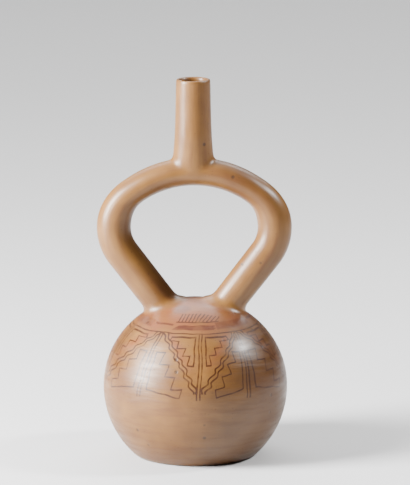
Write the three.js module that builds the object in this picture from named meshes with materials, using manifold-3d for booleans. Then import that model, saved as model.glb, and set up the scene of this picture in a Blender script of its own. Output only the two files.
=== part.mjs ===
// A stirrup spout bottle of burnished clay: a globular body with a flat base, two hollow legs that rise from
// its top, bow outwards and meet in an arch, and one straight spout on the arch. It is one hollow piece of
// fired clay, in millimetres, +Z up. The origin is the centre of the flat base, and the stirrup lies in XZ.
import * as THREE from "three";
import { mergeVertices } from "three/addons/utils/BufferGeometryUtils.js";
import Module from "manifold-3d";

const wasm = await Module();
wasm.setup();

// ---- driving dimensions ----
const HEIGHT = 270; // base to rim
const BODY_RADIUS = 65.6; // at the equator
const BASE_RADIUS = 43.5; // where the wall would meet the flat underside
const BASE_EDGE = 3.5; // rounding between the underside and the wall
const BODY_TOP = 112.4; // height of the body's crown
const BODY_WALL = 5;
const FLOOR_WALL = 7;

const ARCH_TOP = 203.9; // centreline of the arch under the spout
const ARCH_RADIUS = 73.7; // of the centreline, across the top
const SHOULDER_RADIUS = 31.4; // of the centreline, where the arch turns down
const ARCH_HALF_ANGLE = THREE.MathUtils.degToRad(37); // from the top to where the shoulder bend starts
const LEG_LEAN = THREE.MathUtils.degToRad(37); // of a leg from upright
const FOOT_DEPTH = 96; // height at which a leg's centreline ends, inside the body

const TUBE_DEPTH = 11.9; // half the tube's thickness from front to back
const TUBE_AT_TOP = 9.9; // half its thickness in the stirrup's plane, beside the spout
const TUBE_AT_SHOULDER = 12.1;
const TUBE_AT_LEG = 11.8;
const SHOULDER_START = 84; // distance from a leg's end at which the tube begins to thin towards the spout
const SHOULDER_END = 116;
const TUBE_WALL = 3.4;
const FOOT_FLARE = 5.4; // how far the tube widens where it meets the body
const FOOT_FLARE_START = 14; // distance from a leg's end
const FOOT_FLARE_TILT = 4; // how much later it starts on the leg's outer side, and sooner on its inner side
const FOOT_FLARE_LENGTH = 20;

const SPOUT_SHIFT = -0.7; // sideways offset of the spout on the arch
const SPOUT_FOOT = 199.5; // where the spout's outside ends, within the arch
const SPOUT_FOOT_DEPTH = 11.7; // half its depth there, so that it comes down the arch's front and back in a V
const SPOUT_DEPTH_HEIGHT = 30; // height over which it narrows to that depth
// Half the spout's width along the arch at each height, from the foot to below the lip.
const SPOUT_WIDTHS = [
  [SPOUT_FOOT, 21],
  [205, 18],
  [211, 15.7],
  [217.5, 14.1],
  [228, 13.2],
  [246, 12.6],
  [264, 12.2],
];
const RIM_RADIUS = 12.1;
const MOUTH_RADIUS = 9.5;
const LIP_FLAT = 1.3; // width of the flat ring on top of the rim
const LIP_EASE = 0.7; // rounding on each side of it

const BODY_SIDES = 52;
const TUBE_SIDES = 22;
const SPOUT_SIDES = 28;

// ---- shared helpers ----
// The closed solid of a geometry, with its seams merged.
function solidOf(geometry) {
  const bare = new THREE.BufferGeometry()
    .setAttribute("position", geometry.toNonIndexed().getAttribute("position"));
  const merged = mergeVertices(bare, 1e-3);
  return new wasm.Manifold(
    new wasm.Mesh({
      numProp: 3,
      vertProperties: merged.attributes.position.array,
      triVerts: new Uint32Array(merged.index.array),
    }),
  );
}

function geometryOf(solid) {
  const { vertProperties, triVerts } = solid.getMesh();
  const geometry = new THREE.BufferGeometry()
    .setAttribute("position", new THREE.BufferAttribute(vertProperties, 3))
    .setIndex(new THREE.BufferAttribute(triVerts, 1))
    .toNonIndexed();
  geometry.computeVertexNormals();
  return geometry;
}

// A turned form about +Z, from (radius, height) points that run upwards and start and end on the axis.
function turned(profile, sides) {
  return new THREE.LatheGeometry(profile, sides).rotateX(Math.PI / 2);
}

// ---- body ----
// A sphere cut flat below its middle, with a slightly lower dome above it.
function bodyProfile(radius, baseRadius, baseHeight, top, edge, steps) {
  const middle = baseHeight + Math.sqrt(radius ** 2 - baseRadius ** 2);
  // The rounding touches the underside and, from inside, the wall's circle.
  const edgeReach = Math.sqrt((radius - edge) ** 2 - (middle - baseHeight - edge) ** 2);
  const wallStart = Math.atan2(baseHeight + edge - middle, edgeReach);
  const outline = new THREE.Path();
  outline.moveTo(0, baseHeight);
  outline.lineTo(edgeReach, baseHeight);
  outline.absarc(edgeReach, baseHeight + edge, edge, -Math.PI / 2, wallStart, false);
  const wall = new THREE.Path().absarc(0, middle, radius, wallStart, 0, false);
  const dome = new THREE.Path()
    .absellipse(0, middle, radius, top - middle, 0, Math.PI / 2, false, 0);
  const points = [
    ...outline.getPoints(3),
    ...wall.getSpacedPoints(steps).slice(1),
    ...dome.getSpacedPoints(steps + 3).slice(1),
  ];
  points[points.length - 1].x = 0;
  return points;
}

function bodyOutside() {
  return turned(bodyProfile(BODY_RADIUS, BASE_RADIUS, 0, BODY_TOP, BASE_EDGE, 9), BODY_SIDES);
}

function bodyInside() {
  const radius = BODY_RADIUS - BODY_WALL;
  const profile = bodyProfile(radius, BASE_RADIUS, FLOOR_WALL, BODY_TOP - BODY_WALL, BASE_EDGE, 7);
  return turned(profile, 36);
}

// ---- stirrup ----
// Its centreline in (x, z): up the left leg, over the arch and down the right leg.
function stirrupLine() {
  const archCentre = new THREE.Vector2(0, ARCH_TOP - ARCH_RADIUS);
  const reach = ARCH_RADIUS - SHOULDER_RADIUS;
  const shoulderX = reach * Math.sin(ARCH_HALF_ANGLE);
  const shoulderZ = archCentre.y + reach * Math.cos(ARCH_HALF_ANGLE);
  const legEndX = shoulderX + SHOULDER_RADIUS * Math.cos(LEG_LEAN);
  const legEndZ = shoulderZ - SHOULDER_RADIUS * Math.sin(LEG_LEAN);
  const footX = legEndX - (legEndZ - FOOT_DEPTH) * Math.tan(LEG_LEAN);
  const rightward = Math.PI / 2 - ARCH_HALF_ANGLE;
  const leftward = Math.PI / 2 + ARCH_HALF_ANGLE;
  const line = new THREE.Path();
  line.moveTo(-footX, FOOT_DEPTH);
  line.lineTo(-legEndX, legEndZ);
  line.absarc(-shoulderX, shoulderZ, SHOULDER_RADIUS, Math.PI + LEG_LEAN, leftward, true);
  line.absarc(archCentre.x, archCentre.y, ARCH_RADIUS, leftward, rightward, true);
  line.absarc(shoulderX, shoulderZ, SHOULDER_RADIUS, rightward, -LEG_LEAN, true);
  line.lineTo(footX, FOOT_DEPTH);
  return line;
}

// Half the tube's thickness in the stirrup's plane, by its distance from the nearer end of the line.
function tubeRadius(fromEnd) {
  const upLeg = THREE.MathUtils.smoothstep(fromEnd, FOOT_FLARE_START, SHOULDER_START);
  const overArch = THREE.MathUtils.smoothstep(fromEnd, SHOULDER_START, SHOULDER_END);
  const leg = THREE.MathUtils.lerp(TUBE_AT_LEG, TUBE_AT_SHOULDER, upLeg);
  return THREE.MathUtils.lerp(leg, TUBE_AT_TOP, overArch);
}

// The widening where a leg meets the body, a quarter-round trumpet. Outward is 1 on the leg's outer side.
function footFlare(fromEnd, outward) {
  const start = FOOT_FLARE_START + FOOT_FLARE_TILT * outward;
  const above = THREE.MathUtils.clamp((fromEnd - start) / FOOT_FLARE_LENGTH, 0, 1);
  return FOOT_FLARE * (1 - Math.sqrt(1 - (1 - above) ** 2));
}

// A tube bent along the stirrup line: a turned form whose height is distance along the line.
function stirrupTube(inset, sides, steps, flare) {
  const line = stirrupLine();
  const length = line.getLength();
  const profile = [new THREE.Vector2(0, 0)];
  for (let i = 0; i <= steps; i++) profile.push(new THREE.Vector2(1, (length * i) / steps));
  profile.push(new THREE.Vector2(0, length));
  const tube = new THREE.LatheGeometry(profile, sides, Math.PI / sides);
  const position = tube.getAttribute("position");
  for (let i = 0; i < position.count; i++) {
    const along = position.getY(i);
    const fromEnd = Math.min(along, length - along);
    const widening = flare * footFlare(fromEnd, position.getX(i));
    const inPlane = (tubeRadius(fromEnd) - inset + widening) * position.getX(i);
    const acrossPlane = (TUBE_DEPTH - inset + widening) * position.getZ(i);
    const share = THREE.MathUtils.clamp(along / length, 0, 1);
    const centre = line.getPointAt(share);
    const tangent = line.getTangentAt(share);
    position.setXYZ(i, centre.x - tangent.y * inPlane, acrossPlane, centre.y + tangent.x * inPlane);
  }
  return tube;
}

// ---- spout ----
// Slightly tapered, widening along the arch towards its foot, where its depth falls to the arch's.
function spoutOutside() {
  const widths = new THREE.SplineCurve(SPOUT_WIDTHS.map(([height, half]) => new THREE.Vector2(half, height)));
  const profile = [
    new THREE.Vector2(0, SPOUT_FOOT),
    ...widths.getPoints(12),
    new THREE.Vector2(RIM_RADIUS, HEIGHT - LIP_EASE),
    new THREE.Vector2(RIM_RADIUS - LIP_EASE, HEIGHT),
    new THREE.Vector2(0, HEIGHT),
  ];
  const spout = turned(profile, SPOUT_SIDES);
  const position = spout.getAttribute("position");
  for (let i = 0; i < position.count; i++) {
    const low = THREE.MathUtils.clamp(1 - (position.getZ(i) - SPOUT_FOOT) / SPOUT_DEPTH_HEIGHT, 0, 1);
    const out = Math.hypot(position.getX(i), position.getY(i));
    const depth = Math.min(out, THREE.MathUtils.lerp(RIM_RADIUS + 1, SPOUT_FOOT_DEPTH, low));
    if (out > 0) position.setY(i, (position.getY(i) / out) * depth);
  }
  return spout.translate(SPOUT_SHIFT, 0, 0);
}

function spoutInside() {
  const lipInner = RIM_RADIUS - 2 * LIP_EASE - LIP_FLAT;
  const above = 10; // the bore is cut through the rim and well past it
  const profile = [
    new THREE.Vector2(0, ARCH_TOP - TUBE_WALL),
    new THREE.Vector2(MOUTH_RADIUS - TUBE_WALL, ARCH_TOP - TUBE_WALL),
    new THREE.Vector2(MOUTH_RADIUS, ARCH_TOP + TUBE_DEPTH),
    new THREE.Vector2(lipInner, HEIGHT - LIP_EASE),
    new THREE.Vector2(lipInner + LIP_EASE, HEIGHT),
    new THREE.Vector2(lipInner + LIP_EASE, HEIGHT + above),
    new THREE.Vector2(0, HEIGHT + above),
  ];
  return turned(profile, 20).translate(SPOUT_SHIFT, 0, 0);
}

// ---- the vessel ----
function vesselGeometry() {
  const outside = solidOf(bodyOutside())
    .add(solidOf(stirrupTube(0, TUBE_SIDES, 50, 1)))
    .add(solidOf(spoutOutside()));
  const inside = solidOf(bodyInside())
    .add(solidOf(stirrupTube(TUBE_WALL, 12, 36, 0)))
    .add(solidOf(spoutInside()));
  return geometryOf(outside.subtract(inside));
}

const clay = new THREE.MeshStandardMaterial({ color: 0xc09a6b, roughness: 0.45, metalness: 0 });
const vessel = new THREE.Mesh(vesselGeometry(), clay);
vessel.name = "vessel";

const bottle = new THREE.Group();
bottle.add(vessel);

export default bottle;
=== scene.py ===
import math

import bmesh
import bpy
from mathutils import Matrix, Vector, noise
from mathutils.bvhtree import BVHTree
from mathutils.kdtree import KDTree


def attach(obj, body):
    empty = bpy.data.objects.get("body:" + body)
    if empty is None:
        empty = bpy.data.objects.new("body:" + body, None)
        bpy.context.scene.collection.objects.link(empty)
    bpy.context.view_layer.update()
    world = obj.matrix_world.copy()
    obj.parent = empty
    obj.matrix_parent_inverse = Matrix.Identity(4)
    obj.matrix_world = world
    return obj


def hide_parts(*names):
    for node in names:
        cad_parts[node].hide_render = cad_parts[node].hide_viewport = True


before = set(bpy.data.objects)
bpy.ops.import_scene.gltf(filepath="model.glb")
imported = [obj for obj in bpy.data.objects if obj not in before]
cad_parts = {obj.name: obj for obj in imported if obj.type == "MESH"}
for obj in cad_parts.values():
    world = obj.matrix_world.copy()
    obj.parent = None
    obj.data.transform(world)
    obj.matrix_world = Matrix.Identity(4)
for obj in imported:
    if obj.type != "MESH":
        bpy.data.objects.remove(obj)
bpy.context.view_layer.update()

# A stirrup spout bottle of burnished clay.
# Shapes are worked out in millimetres and scaled to metres at the end.
MM = 0.001

# ---- body ----
BODY_RADIUS = 65.6
BASE_RADIUS = 43.5  # where the wall would meet the flat underside
BASE_EDGE = 3.5
BODY_TOP = 112.4
BODY_WALL = 5.0
FLOOR_WALL = 7.0
BODY_SHIFT = 0.35  # the body sits this much to the right of the stirrup's middle

# ---- stirrup ----
ARCH_TOP = 203.9
ARCH_RADIUS = 73.7
SHOULDER_RADIUS = 31.4
ARCH_HALF_ANGLE = math.radians(37)
LEG_LEAN = math.radians(37)
STIRRUP_HALF_LENGTH = 158.7
STIRRUP_SHIFT = -0.35
TUBE_DEPTH = 11.9
TUBE_AT_TOP = 9.9
TUBE_AT_SHOULDER = 12.1
TUBE_AT_LEG = 11.8
TUBE_WALL = 3.4
FOOT_FILLET = 7.0  # radius of the soft join between a leg and the body

# ---- spout ----
HEIGHT = 270.0
SPOUT_SHIFT = -1.1
SPOUT_FOOT = 199.5
RIM_RADIUS = 12.1
BORE_RADIUS = 9.4
BORE_END = 229.0  # height where the lip's last ring meets the hollow
LIP_START = 266.5
HOLLOW_CUT = 225.0  # height where the hollow's upper end is opened

# ---- mesh fineness ----
OUTSIDE_VOXEL = 1.2
HOLLOW_VOXEL = 2.8


# =============== shells ===============
def arc(centre, radii, start, end, steps):
    """Points of (radius, height) along an arc of an ellipse."""
    angles = [start + (end - start) * i / steps for i in range(steps + 1)]
    return [(centre[0] + radii[0] * math.cos(a), centre[1] + radii[1] * math.sin(a)) for a in angles]


def body_profile(inset, steps):
    """The body's half outline from the middle of its underside to its crown."""
    radius = BODY_RADIUS - inset
    floor = FLOOR_WALL if inset else 0.0
    top = BODY_TOP - inset
    middle = floor + math.sqrt(radius**2 - BASE_RADIUS**2)
    reach = math.sqrt((radius - BASE_EDGE) ** 2 - (middle - floor - BASE_EDGE) ** 2)
    wall_start = math.atan2(floor + BASE_EDGE - middle, reach)
    rings = [(reach * i / 12, floor) for i in range(12)]
    rings += arc((reach, floor + BASE_EDGE), (BASE_EDGE,) * 2, -math.pi / 2, wall_start, 6)
    rings += arc((0, middle), (radius, radius), wall_start, 0, steps)[1:]
    rings += arc((0, middle), (radius, top - middle), 0, math.pi / 2, steps + 10)[1:]
    return rings


def spout_profile(steps):
    """The spout's half outline, slightly tapered and flaring on to the arch."""
    heights = [SPOUT_FOOT + (HEIGHT + 4 - SPOUT_FOOT) * i / steps for i in range(steps + 1)]
    return [(0, SPOUT_FOOT), *[(spout_width(z), z) for z in heights], (0, HEIGHT + 4)]


def spout_width(height):
    flare = 7.6 * math.exp(-(height - SPOUT_FOOT) / 9)
    return RIM_RADIUS + 0.02 * (HEIGHT - height) + flare


def spun(profile, sides):
    """A closed shell turned about the upright axis."""
    bm = bmesh.new()
    points = [bm.verts.new((r, 0, z)) for r, z in profile]
    edges = [bm.edges.new(pair) for pair in zip(points, points[1:])]
    bmesh.ops.spin(
        bm, geom=points + edges, cent=(0, 0, 0), axis=(0, 0, 1), angle=math.tau, steps=sides, use_merge=True
    )
    bmesh.ops.remove_doubles(bm, verts=bm.verts, dist=1e-4)
    bmesh.ops.recalc_face_normals(bm, faces=bm.faces)
    return bm


def spout_shell():
    """The spout's outside. Its depth falls to the arch's, so that it comes down the front and back in a V."""
    bm = spun(spout_profile(60), 144)
    for vert in bm.verts:
        out = math.hypot(vert.co.x, vert.co.y)
        low = min(max(1 - (vert.co.z - SPOUT_FOOT) / 30, 0), 1)
        deepest = RIM_RADIUS + 1 + (11.7 - RIM_RADIUS - 1) * low
        if out > deepest:
            vert.co.y *= deepest / out
    bmesh.ops.translate(bm, verts=bm.verts, vec=(SPOUT_SHIFT, 0, 0))
    return bm


def smooth_step(value, low, high):
    share = min(max((value - low) / (high - low), 0.0), 1.0)
    return share * share * (3 - 2 * share)


def stirrup_stations(spacing):
    """(x, z, heading, distance from the nearer foot) from the left foot, over the arch, to the right foot."""
    count = round(STIRRUP_HALF_LENGTH / spacing)
    step = STIRRUP_HALF_LENGTH / count
    arch_length = ARCH_RADIUS * ARCH_HALF_ANGLE
    shoulder_length = SHOULDER_RADIUS * (math.pi / 2 - ARCH_HALF_ANGLE + LEG_LEAN)
    x, z, heading = 0.0, ARCH_TOP, 0.0
    right = [(x, z, heading, STIRRUP_HALF_LENGTH)]
    for i in range(count):
        middle = (i + 0.5) * step
        if middle < arch_length:
            turn = step / ARCH_RADIUS
        elif middle < arch_length + shoulder_length:
            turn = step / SHOULDER_RADIUS
        else:
            turn = 0.0
        x += step * math.cos(heading - turn / 2)
        z += step * math.sin(heading - turn / 2)
        heading -= turn
        right.append((x, z, heading, STIRRUP_HALF_LENGTH - (i + 1) * step))
    left = [(-x, z, -heading, end) for x, z, heading, end in right[:0:-1]]
    return left + right


def tube_width(from_foot):
    """Half the tube's thickness in the stirrup's plane."""
    leg = TUBE_AT_LEG + (TUBE_AT_SHOULDER - TUBE_AT_LEG) * smooth_step(from_foot, 14, 84)
    return leg + (TUBE_AT_TOP - leg) * smooth_step(from_foot, 84, 116)


def stirrup_shell(inset, sides, spacing):
    """The bent tube, grown ring by ring along the stirrup."""
    places = []
    for x, z, heading, from_foot in stirrup_stations(spacing):
        place = Matrix.Translation((x + STIRRUP_SHIFT, 0, z)) @ Matrix.Rotation(-heading, 4, "Y")
        size = Matrix.Diagonal((1, TUBE_DEPTH - inset, tube_width(from_foot) - inset, 1))
        places.append(place @ size)
    bm = bmesh.new()
    upright = Matrix.Rotation(math.pi / 2, 4, "Y")
    bmesh.ops.create_circle(bm, cap_ends=True, radius=1, segments=sides, matrix=upright)
    ring = list(bm.edges)
    bmesh.ops.transform(bm, matrix=places[0], verts=bm.verts)
    for before, after in zip(places, places[1:]):
        grown = bmesh.ops.extrude_edge_only(bm, edges=ring)["geom"]
        verts = [g for g in grown if isinstance(g, bmesh.types.BMVert)]
        ring = [g for g in grown if isinstance(g, bmesh.types.BMEdge)]
        bmesh.ops.transform(bm, matrix=after @ before.inverted(), verts=verts)
    bmesh.ops.contextual_create(bm, geom=ring)
    bmesh.ops.recalc_face_normals(bm, faces=bm.faces)
    return bm


def station_finder(stations):
    """A search tree of the stirrup's middle line."""
    finder = KDTree(len(stations))
    for i, (x, z, _, _) in enumerate(stations):
        finder.insert((x + STIRRUP_SHIFT, 0, z), i)
    finder.balance()
    return finder


def widen_feet(tube, body):
    """Widens each leg in a quarter round where it comes down to the body."""
    surface = BVHTree.FromBMesh(body)
    finder = station_finder(stirrup_stations(1.0))
    for vert in tube.verts:
        if vert.co.z > 140:
            continue
        spot, normal, _, gap = surface.find_nearest(vert.co)
        above = gap if (vert.co - spot).dot(normal) > 0 else 0.0
        if above < FOOT_FILLET:
            outward = (vert.co - finder.find(vert.co)[0]).normalized()
            drop = FOOT_FILLET - above
            vert.co += outward * (FOOT_FILLET - math.sqrt(FOOT_FILLET**2 - drop**2)) * 0.62


# =============== one skin ===============
def object_of(bm, name):
    mesh = bpy.data.meshes.new(name)
    bm.to_mesh(mesh)
    bm.free()
    obj = bpy.data.objects.new(name, mesh)
    bpy.context.scene.collection.objects.link(obj)
    return obj


def mesh_with_modifiers(obj):
    graph = bpy.context.evaluated_depsgraph_get()
    return bpy.data.meshes.new_from_object(obj.evaluated_get(graph))


def joined(shells):
    whole = bmesh.new()
    for shell in shells:
        mesh = bpy.data.meshes.new("shell")
        shell.to_mesh(mesh)
        whole.from_mesh(mesh)
        bpy.data.meshes.remove(mesh)
    return whole


def modelled_skin(shells, voxel, name):
    """The shells run together into one skin, smooth over the joins like clay wiped with a wet finger."""
    moulds = object_of(joined(shells), name + "_moulds")
    remesh = moulds.modifiers.new("one_skin", "REMESH")
    remesh.mode, remesh.voxel_size = "VOXEL", voxel
    skin = bpy.data.objects.new(name, mesh_with_modifiers(moulds))
    bpy.context.scene.collection.objects.link(skin)
    moulds.modifiers.clear()

    # How near each point is to a second shell, which is where two forms meet.
    trees = [BVHTree.FromBMesh(shell) for shell in shells]
    joint = skin.vertex_groups.new(name="joint")
    for vert in skin.data.vertices:
        gaps = sorted(tree.find_nearest(vert.co)[3] for tree in trees)
        weight = 1 - smooth_step(gaps[1], 2.0, 7.5)
        if weight > 0:
            joint.add([vert.index], weight, "REPLACE")

    settle = skin.modifiers.new("settle", "SMOOTH")
    settle.factor, settle.iterations = 0.5, 6
    true_form = skin.modifiers.new("true_form", "SHRINKWRAP")
    true_form.target = moulds
    true_form.vertex_group, true_form.invert_vertex_group = "joint", True
    wiped = skin.modifiers.new("wiped_joins", "SMOOTH")
    wiped.factor, wiped.iterations, wiped.vertex_group = 0.5, 14, "joint"
    finished = mesh_with_modifiers(skin)
    bpy.data.objects.remove(skin)
    bpy.data.objects.remove(moulds)
    bm = bmesh.new()
    bm.from_mesh(finished)
    bpy.data.meshes.remove(finished)
    return bm


def cut_level(bm, height):
    """Cuts off what is over a height and returns the edges of the opening."""
    cut = bmesh.ops.bisect_plane(
        bm,
        geom=bm.verts[:] + bm.edges[:] + bm.faces[:],
        plane_co=(0, 0, height),
        plane_no=(0, 0, 1),
        clear_outer=True,
    )
    return [g for g in cut["geom_cut"] if isinstance(g, bmesh.types.BMEdge)]


# ---- lip ----
LIP = [  # (radius, height) from the outside, over the lip and down the bore
    (12.12, 267.6), (12.1, 268.4), (11.95, 269.2), (11.6, 269.75), (11.15, 269.95), (10.6, 269.9),
    (10.05, 269.6), (9.65, 269.0), (9.45, 268.2),
]
LIP += [(BORE_RADIUS, height) for height in (267.0, 265.0, 262.0, 257.0, 251.0, 244.0, 236.0, BORE_END)]


def grow_lip(bm, opening):
    """Carries the spout's cut edge up over the lip and down inside, ring by ring."""
    ring = opening
    for radius, height in LIP:
        grown = bmesh.ops.extrude_edge_only(bm, edges=ring)["geom"]
        ring = [g for g in grown if isinstance(g, bmesh.types.BMEdge)]
        for vert in (g for g in grown if isinstance(g, bmesh.types.BMVert)):
            around = math.atan2(vert.co.y, vert.co.x - SPOUT_SHIFT)
            uneven = 0.22 * noise.noise((1.3 * math.cos(around), 1.3 * math.sin(around), height / 40))
            vert.co.x = SPOUT_SHIFT + (radius + uneven) * math.cos(around)
            vert.co.y = (radius + uneven) * math.sin(around)
            vert.co.z = height
    return ring


def mark_parts(bm, shells):
    """Notes each point's share in the stirrup and the spout, and its place along the stirrup."""
    trees = [BVHTree.FromBMesh(shell) for shell in shells]
    stations = stirrup_stations(1.0)
    finder = station_finder(stations)
    on_stirrup = bm.verts.layers.float.new("on_stirrup")
    on_spout = bm.verts.layers.float.new("on_spout")
    along_stirrup = bm.verts.layers.float_vector.new("along_stirrup")
    for vert in bm.verts:
        to_body, to_tube, to_spout = (tree.find_nearest(vert.co)[3] for tree in trees)
        limb = smooth_step(to_body - min(to_tube, to_spout), -1.5, 3.0)
        spout = smooth_step(to_tube - to_spout, -1.5, 3.0)
        vert[on_spout] = limb * spout
        vert[on_stirrup] = limb * (1 - spout)
        middle, index, _ = finder.find(vert.co)
        _, _, heading, _ = stations[index]
        off = vert.co - middle
        ahead = off.x * math.cos(heading) + off.z * math.sin(heading)
        out = off.z * math.cos(heading) - off.x * math.sin(heading)
        vert[along_stirrup] = (out * MM, off.y * MM, (index - len(stations) / 2 + ahead) * MM)


def vessel_mesh():
    """The outside, the lip and the hollow as one closed wall, in millimetres."""
    body = spun(body_profile(0, 60), 240)
    bmesh.ops.translate(body, verts=body.verts, vec=(BODY_SHIFT, 0, 0))
    tube = stirrup_shell(0, 96, 1.2)
    widen_feet(tube, body)
    shells = [body, tube, spout_shell()]
    bm = modelled_skin(shells, OUTSIDE_VOXEL, "outside")
    mark_parts(bm, shells)
    opening = cut_level(bm, LIP_START)
    bore_end = grow_lip(bm, opening)

    hollow_body = spun(body_profile(BODY_WALL, 24), 90)
    bmesh.ops.translate(hollow_body, verts=hollow_body.verts, vec=(BODY_SHIFT, 0, 0))
    root_floor = ARCH_TOP - TUBE_WALL
    root = spun([(0, root_floor), (6.1, root_floor), (BORE_RADIUS, 216), (BORE_RADIUS, 232), (0, 232)], 40)
    bmesh.ops.translate(root, verts=root.verts, vec=(SPOUT_SHIFT, 0, 0))
    hollow_shells = [hollow_body, stirrup_shell(TUBE_WALL, 48, 2.5), root]
    hollow = modelled_skin(hollow_shells, HOLLOW_VOXEL, "hollow")
    cut_level(hollow, HOLLOW_CUT)
    bmesh.ops.reverse_faces(hollow, faces=hollow.faces)
    inner = bpy.data.meshes.new("hollow")
    hollow.to_mesh(inner)
    hollow.free()

    bm.from_mesh(inner)
    bpy.data.meshes.remove(inner)
    bore_edges = set(bore_end)
    passage = [e for e in bm.edges if e.is_boundary and e not in bore_edges]
    bmesh.ops.bridge_loops(bm, edges=bore_end + passage)
    bmesh.ops.recalc_face_normals(bm, faces=bm.faces)
    return bm


def make_vessel():
    bm = vessel_mesh()
    bmesh.ops.scale(bm, verts=bm.verts, vec=(MM, MM, MM))
    for face in bm.faces:
        face.smooth = True
    return object_of(bm, "stirrup_spout_vessel")


vessel = make_vessel()


# =============== looks ===============
class Sums:
    """Writes a shader's sums as node chains. Most methods return the socket that holds the answer."""

    def __init__(self, tree):
        self.tree = tree

    def node(self, kind, values=None, **settings):
        node = self.tree.nodes.new("ShaderNode" + kind)
        for name, setting in settings.items():
            setattr(node, name, setting)
        for name, value in (values or {}).items():
            self.put(node.inputs[name], value)
        return node

    def put(self, socket, value):
        if isinstance(value, bpy.types.NodeSocket):
            self.tree.links.new(value, socket)
        else:
            socket.default_value = value

    def math(self, operation, *values):
        return self.node("Math", dict(enumerate(values)), operation=operation).outputs[0]

    def chain(self, operation, values):
        total = values[0]
        for value in values[1:]:
            total = self.math(operation, total, value)
        return total

    def add(self, *values):
        return self.chain("ADD", values)

    def sub(self, a, b):
        return self.math("SUBTRACT", a, b)

    def mul(self, *values):
        return self.chain("MULTIPLY", values)

    def least(self, *values):
        return self.chain("MINIMUM", values)

    def most(self, *values):
        return self.chain("MAXIMUM", values)

    def ramp(self, value, low, high, to_low=0.0, to_high=1.0, smooth=False):
        """The value carried from one range to another, and held at its ends."""
        values = {0: value, 1: low, 2: high, 3: to_low, 4: to_high}
        kind = "SMOOTHSTEP" if smooth else "LINEAR"
        return self.node("MapRange", values, interpolation_type=kind, clamp=True).outputs[0]

    def positive(self, value, soft=0.14):
        """1 where the value is over nought, with a soft edge."""
        return self.ramp(value, -soft, soft, smooth=True)

    def stroke(self, off, half):
        """1 within half a stroke of its middle line."""
        return self.positive(self.sub(half, self.math("ABSOLUTE", off)))

    def scaled(self, vector, scale):
        return self.node("VectorMath", {0: vector, 1: scale}, operation="MULTIPLY").outputs[0]

    def shifted(self, vector, shift):
        return self.node("VectorMath", {0: vector, 1: shift}, operation="ADD").outputs[0]

    def parts(self, vector):
        return self.node("SeparateXYZ", {0: vector}).outputs

    def noise(self, vector, scale, detail=2.0, roughness=0.5, colour=False):
        values = {"Vector": vector, "Scale": scale, "Detail": detail, "Roughness": roughness}
        node = self.node("TexNoise", values)
        return node.outputs["Color" if colour else "Fac"]

    def tint(self, factor, below, above):
        """One colour laid over another. The factor is how much of it covers."""
        node = self.node("Mix", {0: factor, 6: below, 7: above}, data_type="RGBA", clamp_factor=True)
        return node.outputs[2]

    def attribute(self, name, output="Fac"):
        return self.node("Attribute", attribute_name=name).outputs[output]


def node_group(name, inputs, outputs):
    """A shader node group, its sums, and its input and output sockets by name."""
    tree = bpy.data.node_groups.new(name, "ShaderNodeTree")
    for direction, sockets in (("INPUT", inputs), ("OUTPUT", outputs)):
        for label, kind in sockets.items():
            tree.interface.new_socket(label, in_out=direction, socket_type="NodeSocket" + kind)
    given = tree.nodes.new("NodeGroupInput").outputs
    wanted = tree.nodes.new("NodeGroupOutput").inputs
    return tree, Sums(tree), given, wanted


def place_group(sums, tree, values):
    node = sums.node("Group", node_tree=tree)
    for name, value in values.items():
        sums.put(node.inputs[name], value)
    return node.outputs


# ---- painted band ----
BODY_MIDDLE = 49.8  # height that the painter's angles are measured from
BAND_TOP = 45.5  # degrees above the middle where the panels begin
PANEL = 36.0  # a half panel's width in degrees, as drawn
STROKE = 1.05  # width of the brush line
# The depths below are degrees down from the panels' top. Those under nought lie in the band above it.
UPRIGHT_FOOT = 43.0
UPRIGHT_GAPS = (1.3, 1.0)  # from an upright pair's middle to each line, at the top and lower down
WAVE_PITCH = 5.95
WAVE_SWING = 0.8
WAVE_FOOT = 39.0
WAVE_GAP = (1.8, 1.7)  # from one wavy line to the other, sideways and down
UPPER_TOP, UPPER_ROW, UPPER_LAST, UPPER_FOOT = 2.2, 4.9, 20.0, 21.5
LOWER_TOP, LOWER_ROW, LOWER_FOOT = 13.9, 7.1, 41.6
RING = -0.6
BAR = (-7.5, -3.6)
STRIPE = (-8.3, -6.6)
FADED_BAND = (-9.8, -3.8)
BAND_REPEAT = 116.0  # degrees round the body from one bar to the next
HATCH_BASE = 55.9  # degrees above the body's middle
HATCH_SPACING = 2.55
HATCH_SLANT = 0.45
HATCH_ENDS = (2.6, 29.6)
HATCH_DEPTH = 26.8  # nearest to the upright axis that the hatch comes
# Degrees round the body where each pair of upright lines starts, and how far it drifts for a degree down.
UPRIGHTS = [
    (-177.5, 0), (-143, 0), (-109, 0), (-74, -0.11), (-31.3, -0.15), (4.7, -0.06),
    (38.8, -0.09), (80, -0.03), (114, 0), (148, 0), (182.5, 0),
]


def stepped_outline(sums, row, half_row, reach, sides, ends, half_side):
    """The outline of a flight of steps. Each row has its own reach, and its riser leans."""

    def inside(grow):
        wide = sums.mul(half_side, grow)
        counted = sums.add(row, half_row * grow)
        step = sums.most(sums.least(sums.math("FLOOR", counted), 3.0), 0.0)
        riser = sums.sub(reach(step, sums.sub(counted, step)), sides[0])
        edges = (riser, sides[1], *ends)
        return sums.positive(sums.least(*[sums.add(edge, wide) for edge in edges]))

    return sums.sub(inside(1.0), inside(-1.0))


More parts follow.
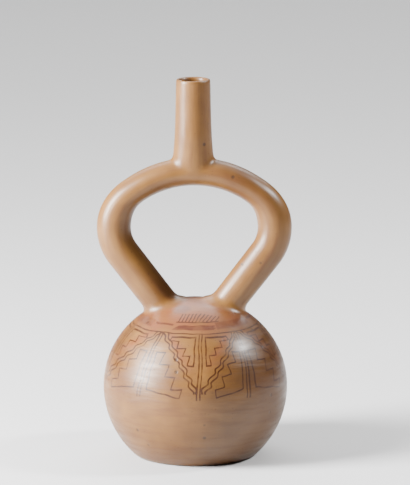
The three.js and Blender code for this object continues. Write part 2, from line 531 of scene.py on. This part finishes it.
def painted_band_group():
    """Fine brush lines in panels round the shoulder, and the broad broken band above them."""
    tree, sums, given, wanted = node_group(
        "painted_band",
        {"Vector": "Vector"},
        {"Lines": "Float", "Band": "Float", "Blush": "Float", "Smudge": "Float", "Lower": "Float"},
    )
    place = sums.scaled(given["Vector"], (1000, 1000, 1000))
    wobble = sums.shifted(sums.noise(place, 0.1, 1.0, colour=True), (-0.5, -0.5, -0.5))
    place = sums.shifted(place, sums.scaled(wobble, (2.2, 2.2, 2.2)))
    x, y, z = sums.parts(place)
    x = sums.sub(x, BODY_SHIFT)
    azimuth = sums.mul(sums.math("ARCTAN2", x, sums.mul(y, -1.0)), 180 / math.pi)
    out = sums.math("SQRT", sums.add(sums.mul(x, x), sums.mul(y, y)))
    latitude = sums.mul(sums.math("ARCTAN2", sums.sub(z, BODY_MIDDLE), out), 180 / math.pi)
    down = sums.sub(BAND_TOP, latitude)
    # Swings between -1 and 1 from one panel to the next, because every second panel is drawn fuller.
    by_turns = sums.math("SINE", sums.mul(sums.sub(azimuth, 3.0), math.radians(5)))

    # Distance from one kind of upright to the other, folded so that neighbours mirror each other.
    counted = 1.0
    for (low, low_drift), (high, high_drift) in zip(UPRIGHTS, UPRIGHTS[1:]):
        low_edge = sums.add(low, sums.mul(down, low_drift))
        high_edge = sums.add(high, sums.mul(down, high_drift))
        counted = sums.add(sums.ramp(azimuth, low_edge, high_edge), counted)
    near = sums.mul(sums.math("PINGPONG", counted, 1.0), PANEL)
    far = sums.sub(PANEL, near)

    half_down = STROKE / 2 / (math.pi / 180 * BODY_RADIUS)
    half_side = sums.math("DIVIDE", half_down, sums.math("COSINE", sums.mul(latitude, math.pi / 180)))
    gap = sums.ramp(down, 0.0, 20.0, *UPRIGHT_GAPS)
    uprights = sums.most(
        sums.stroke(sums.sub(near, gap), half_side), sums.stroke(sums.sub(far, gap), half_side)
    )
    uprights = sums.mul(uprights, sums.positive(sums.sub(UPRIGHT_FOOT, down)))

    def wave(side, depth):
        """A wavy line from the head of one upright to the foot of the next."""
        phase = sums.mul(sums.sub(depth, 3.4), math.tau / WAVE_PITCH)
        middle = sums.add(35.3, sums.mul(depth, -1.076), sums.mul(depth, depth, 0.00685))
        swing = sums.mul(sums.math("SINE", phase), WAVE_SWING)
        middle = sums.add(middle, swing, sums.mul(by_turns, 1.9))
        slope = sums.mul(sums.math("COSINE", phase), WAVE_SWING * math.tau / WAVE_PITCH)
        slope = sums.add(-0.84, slope)
        slant = sums.math("SQRT", sums.add(1.0, sums.mul(slope, slope)))
        return sums.stroke(sums.sub(side, middle), sums.mul(half_side, slant))

    aside, lower_down = WAVE_GAP
    waves = sums.most(wave(near, down), wave(sums.add(near, aside), sums.add(down, lower_down)))
    over_foot = sums.positive(sums.sub(WAVE_FOOT, down))
    waves = sums.mul(waves, sums.positive(sums.sub(near, 1.0)), over_foot)

    def upper_reach(step, part):
        return sums.add(24.6, sums.mul(step, -8.2), sums.mul(step, step, 0.8), sums.mul(part, 0.9))

    upper = stepped_outline(
        sums,
        sums.add(
            sums.ramp(down, UPPER_TOP, UPPER_ROW), sums.ramp(down, UPPER_ROW, UPPER_LAST, 0.0, 3.0)
        ),
        -half_down / 5.5,
        upper_reach,
        (near, sums.sub(near, sums.add(4.4, sums.mul(by_turns, 0.3)))),
        (sums.sub(down, UPPER_TOP), sums.sub(UPPER_FOOT, down)),
        half_side,
    )

    fuller = sums.sub(1.03, sums.mul(by_turns, 0.03))
    tilted = sums.sub(down, sums.mul(sums.add(by_turns, 1.0), sums.sub(far, 12.0), 0.1))
    foot = sums.sub(sums.sub(LOWER_FOOT, sums.mul(sums.sub(25.0, far), 0.2)), down)

    def lower_reach(step, part):
        return sums.mul(sums.add(10.1, sums.mul(step, 4.9), sums.mul(part, -1.4)), fuller)

    lower = stepped_outline(
        sums,
        sums.mul(sums.sub(tilted, LOWER_TOP), sums.add(0.141, sums.mul(by_turns, 0.009))),
        half_down / LOWER_ROW,
        lower_reach,
        (far, sums.sub(far, sums.ramp(down, 14.0, 38.0, 3.9, 4.6))),
        (sums.sub(down, LOWER_TOP), foot),
        half_side,
    )

    under_ring = sums.sub(down, RING)
    ring = sums.stroke(under_ring, half_down)
    panels = sums.mul(sums.most(uprights, waves, upper, lower), sums.positive(under_ring))

    # Slanting hatch over the front and the back of the shoulder.
    side = sums.math("SIGN", y)
    across, depth = sums.mul(x, sums.mul(side, -1.0)), sums.math("ABSOLUTE", y)
    slanted = sums.add(across, sums.mul(depth, HATCH_SLANT))
    hatch = sums.math("PINGPONG", sums.mul(sums.sub(slanted, 0.65), 1 / HATCH_SPACING), 0.5)
    hatch = sums.positive(sums.sub(0.2, hatch), 0.06)
    over_base = sums.sub(latitude, HATCH_BASE)
    in_hatch = sums.least(
        over_base,
        sums.sub(depth, HATCH_DEPTH),
        sums.sub(slanted, HATCH_ENDS[0]),
        sums.sub(HATCH_ENDS[1], slanted),
    )
    hatch = sums.mul(hatch, sums.positive(in_hatch, 0.3))
    beside_hatch = sums.positive(sums.add(in_hatch, 1.0), 0.3)
    hatch_base = sums.mul(sums.stroke(over_base, half_down), beside_hatch)

    worn = sums.ramp(sums.noise(place, 0.12, 3.0, 0.6), 0.3, 0.5, 0.5, 1.0)
    sums.put(wanted["Lines"], sums.mul(sums.most(panels, ring, hatch, hatch_base), worn))

    # Broad band: a heavy bar, a thinner stripe before it and a faded stretch after it, again and again.
    turn = sums.math("WRAP", sums.add(azimuth, 46.0), BAND_REPEAT, 0.0)

    def between(value, low_high):
        return sums.sub(value, low_high[0]), sums.sub(low_high[1], value)

    slanting_start = sums.add(25.5, sums.mul(sums.add(down, 5.5), -1.6))
    jagged_end = sums.add(66.0, sums.mul(sums.math("SINE", sums.mul(down, 3.4)), 1.6))
    bar = sums.least(*between(down, BAR), sums.sub(turn, slanting_start), sums.sub(jagged_end, turn))
    stripe = sums.least(*between(down, STRIPE), turn, sums.sub(22.5, turn))
    faded = sums.least(*between(down, FADED_BAND), sums.sub(turn, 68.0), sums.sub(113.0, turn))
    patchy = sums.noise(place, 0.16, 3.0, 0.6)
    strong = sums.most(sums.positive(bar, 0.25), sums.positive(stripe, 0.25))
    strong = sums.mul(strong, sums.ramp(patchy, 0.3, 0.55, 0.6, 1.0))
    weak = sums.mul(sums.positive(faded, 0.8), sums.ramp(patchy, 0.3, 0.6, 0.2, 0.6))
    sums.put(wanted["Band"], sums.most(strong, weak))

    # Purplish smudge beside the hatch, and the warm blush of the painted zone.
    from_spot = sums.add(
        sums.math("POWER", sums.sub(across, -9.0), 2.0), sums.math("POWER", sums.sub(depth, 20.0), 2.0)
    )
    from_spot = sums.add(from_spot, sums.mul(patchy, 60.0))
    sums.put(wanted["Smudge"], sums.ramp(from_spot, 45.0, 80.0, 1.0, 0.0))
    blush_middle = sums.add(26.0, sums.mul(down, -0.85))
    from_middle = sums.math("ABSOLUTE", sums.sub(near, blush_middle))
    blush = sums.mul(sums.ramp(from_middle, 0.0, 8.0, 1.0, 0.0), sums.ramp(down, 34.0, 10.0, 0.0, 1.0))
    sums.put(wanted["Blush"], sums.most(blush, sums.ramp(down, 3.0, -5.0, 0.0, 1.0)))
    sums.put(wanted["Lower"], sums.ramp(down, 36.0, 60.0))
    return tree


def speckle_group():
    """Small dark pits and grit, as a mask."""
    tree, sums, given, wanted = node_group(
        "speckle", {"Vector": "Vector", "Scale": "Float", "Amount": "Float"}, {"Mask": "Float"}
    )
    cells = sums.node("TexVoronoi", {"Vector": given["Vector"], "Scale": given["Scale"]}, feature="F1")
    dots = sums.ramp(cells.outputs["Distance"], 0.12, 0.26, 1.0, 0.0, smooth=True)
    chosen = sums.parts(cells.outputs["Color"])[0]
    chosen = sums.positive(sums.sub(given["Amount"], chosen), 0.02)
    sums.put(wanted["Mask"], sums.mul(dots, chosen))
    return tree


def burnish_group():
    """A polishing pebble's strokes: level on the body, upright on the spout, lengthwise on the stirrup."""
    tree, sums, given, wanted = node_group(
        "burnish", {"Vector": "Vector"}, {"Strokes": "Float", "Fine": "Float"}
    )
    stirrup = sums.attribute("on_stirrup")
    spout = sums.attribute("on_spout")
    lengthwise = sums.attribute("along_stirrup", "Vector")

    def strokes(scale, detail):
        level = sums.noise(sums.scaled(given["Vector"], (0.16 * scale, 0.16 * scale, scale)), 1.0, detail)
        upright = sums.noise(sums.scaled(given["Vector"], (scale, scale, 0.12 * scale)), 1.0, detail)
        along = sums.noise(sums.scaled(lengthwise, (scale, scale, 0.12 * scale)), 1.0, detail)
        mixed = sums.add(level, sums.mul(stirrup, sums.sub(along, level)))
        return sums.add(mixed, sums.mul(spout, sums.sub(upright, level)))

    sums.put(wanted["Strokes"], strokes(260.0, 2.0))
    sums.put(wanted["Fine"], strokes(900.0, 2.0))
    return tree


def socket_values(shader, **values):
    for name, value in values.items():
        shader.inputs[name.replace("_", " ")].default_value = value


CREAM, TAN, RUST = (0.18, 0.084, 0.022, 1), (0.105, 0.043, 0.011, 1), (0.085, 0.027, 0.009, 1)
WARM_BLUSH = (0.15, 0.045, 0.017, 1)
GRIT, PIT = (0.05, 0.02, 0.008, 1), (0.02, 0.012, 0.008, 1)
# The second colour on the next line is the darker brown laid in patches, more of them low down and towards
# the right.
SMUDGE, DARK_BROWN_PATCH = (0.05, 0.018, 0.015, 1), (0.045, 0.02, 0.009, 1)
BAND_PAINT, LINE_PAINT = (0.05, 0.011, 0.005, 1), (0.03, 0.008, 0.003, 1)


def burnished_clay(groups):
    material = bpy.data.materials.new("burnished_clay")
    material.use_nodes = True
    shader = material.node_tree.nodes["Principled BSDF"]
    sums = Sums(material.node_tree)
    place = sums.node("TexCoord").outputs["Object"]
    paint = place_group(sums, groups["painted_band"], {"Vector": place})
    burnish = place_group(sums, groups["burnish"], {"Vector": place})
    grit = place_group(sums, groups["speckle"], {"Vector": place, "Scale": 420.0, "Amount": 0.22})["Mask"]
    pits = place_group(sums, groups["speckle"], {"Vector": place, "Scale": 150.0, "Amount": 0.06})["Mask"]
    on_body = sums.sub(1.0, sums.add(sums.attribute("on_stirrup"), sums.attribute("on_spout")))

    colour = sums.tint(sums.ramp(sums.noise(place, 22.0, 3.0, 0.55), 0.35, 0.65), TAN, CREAM)
    colour = sums.tint(sums.ramp(burnish["Strokes"], 0.45, 0.75, 0.0, 0.45), colour, RUST)
    patches = sums.ramp(sums.noise(place, 60.0, 2.0), 0.35, 0.65, 0.4, 0.9)
    colour = sums.tint(sums.mul(paint["Blush"], on_body, patches), colour, WARM_BLUSH)
    colour = sums.tint(sums.mul(grit, 0.35), colour, GRIT)
    colour = sums.tint(sums.mul(pits, 0.7), colour, PIT)
    colour = sums.tint(sums.mul(paint["Smudge"], on_body, 0.5), colour, SMUDGE)

    # Darker brown patches, more of them low down and towards the right.
    to_right = sums.ramp(sums.parts(place)[0], 0.0, 0.05, 0.0, 0.22)
    dark_patches = sums.add(sums.noise(place, 14.0, 3.0, 0.6), sums.mul(paint["Lower"], 0.06), to_right)
    dark_patches = sums.mul(sums.ramp(dark_patches, 0.5, 0.75, 0.0, 0.6), on_body)
    colour = sums.tint(dark_patches, colour, DARK_BROWN_PATCH)
    colour = sums.tint(sums.mul(paint["Band"], on_body, 0.85), colour, BAND_PAINT)
    colour = sums.tint(sums.mul(paint["Lines"], on_body, 0.9), colour, LINE_PAINT)
    sums.put(shader.inputs["Base Color"], colour)
    socket_values(shader, Specular_IOR_Level=0.4)

    rough = sums.add(sums.ramp(burnish["Strokes"], 0.3, 0.7, 0.3, 0.46), sums.mul(grit, 0.15))
    sums.put(shader.inputs["Roughness"], rough)
    height = sums.add(burnish["Strokes"], sums.mul(burnish["Fine"], 0.25), sums.mul(pits, -0.6))
    bump = sums.node("Bump", {"Strength": 0.35, "Distance": 0.0006, "Height": height})
    sums.put(shader.inputs["Normal"], bump.outputs[0])
    return material


groups = {"painted_band": painted_band_group(), "burnish": burnish_group(), "speckle": speckle_group()}
vessel.data.materials.append(burnished_clay(groups))
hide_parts("vessel")
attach(vessel, "root")


# =============== stage, light and camera ===============
def plain(name, colour, roughness):
    material = bpy.data.materials.new(name)
    material.use_nodes = True
    shader = material.node_tree.nodes["Principled BSDF"]
    socket_values(shader, Base_Color=(*colour, 1), Roughness=roughness)
    return material


def make_floor():
    bm = bmesh.new()
    bmesh.ops.create_grid(bm, x_segments=1, y_segments=1, size=12)
    floor = object_of(bm, "floor")
    floor.data.materials.append(plain("pale_floor", (0.56, 0.56, 0.562), 0.9))


LIT_POINT = Vector((0, 0, 0.12))


def area_light(name, towards, distance, size, power):
    """A softbox that looks at the vessel's middle from a direction."""
    data = bpy.data.lights.new(name, "AREA")
    data.shape, data.size, data.size_y = "RECTANGLE", size[0], size[1]
    data.energy = power
    lamp = bpy.data.objects.new(name, data)
    bpy.context.scene.collection.objects.link(lamp)
    direction = Vector(towards).normalized()
    lamp.location = LIT_POINT + direction * distance
    lamp.rotation_euler = (-direction).to_track_quat("-Z", "Y").to_euler()


def make_world(strength):
    world = bpy.data.worlds.new("studio")
    world.use_nodes = True
    socket_values(world.node_tree.nodes["Background"], Color=(0.9, 0.95, 1, 1), Strength=strength)
    bpy.context.scene.world = world


def make_camera():
    data = bpy.data.cameras.new("camera")
    data.lens, data.sensor_width = 298.4, 36
    data.clip_end = 60
    camera = bpy.data.objects.new("camera", data)
    bpy.context.scene.collection.objects.link(camera)
    camera.location = (0.0072, -2.8, 0.7)
    camera.rotation_euler = (math.radians(78.94), 0, 0)
    bpy.context.scene.camera = camera


make_floor()
area_light("left_softbox", (-0.863, -0.312, 0.373), 1.3, (0.45, 0.9), 150)
area_light("right_lamp", (0.764, 0.044, 0.643), 1.6, (0.25, 0.25), 36)
area_light("overhead", (0.0, 0.35, 1.0), 2.6, (3.0, 3.0), 38)
area_light("backdrop_wash", (0.0, 1.0, 0.9), 4.5, (5.0, 2.0), 190)
make_world(0.04)
make_camera()
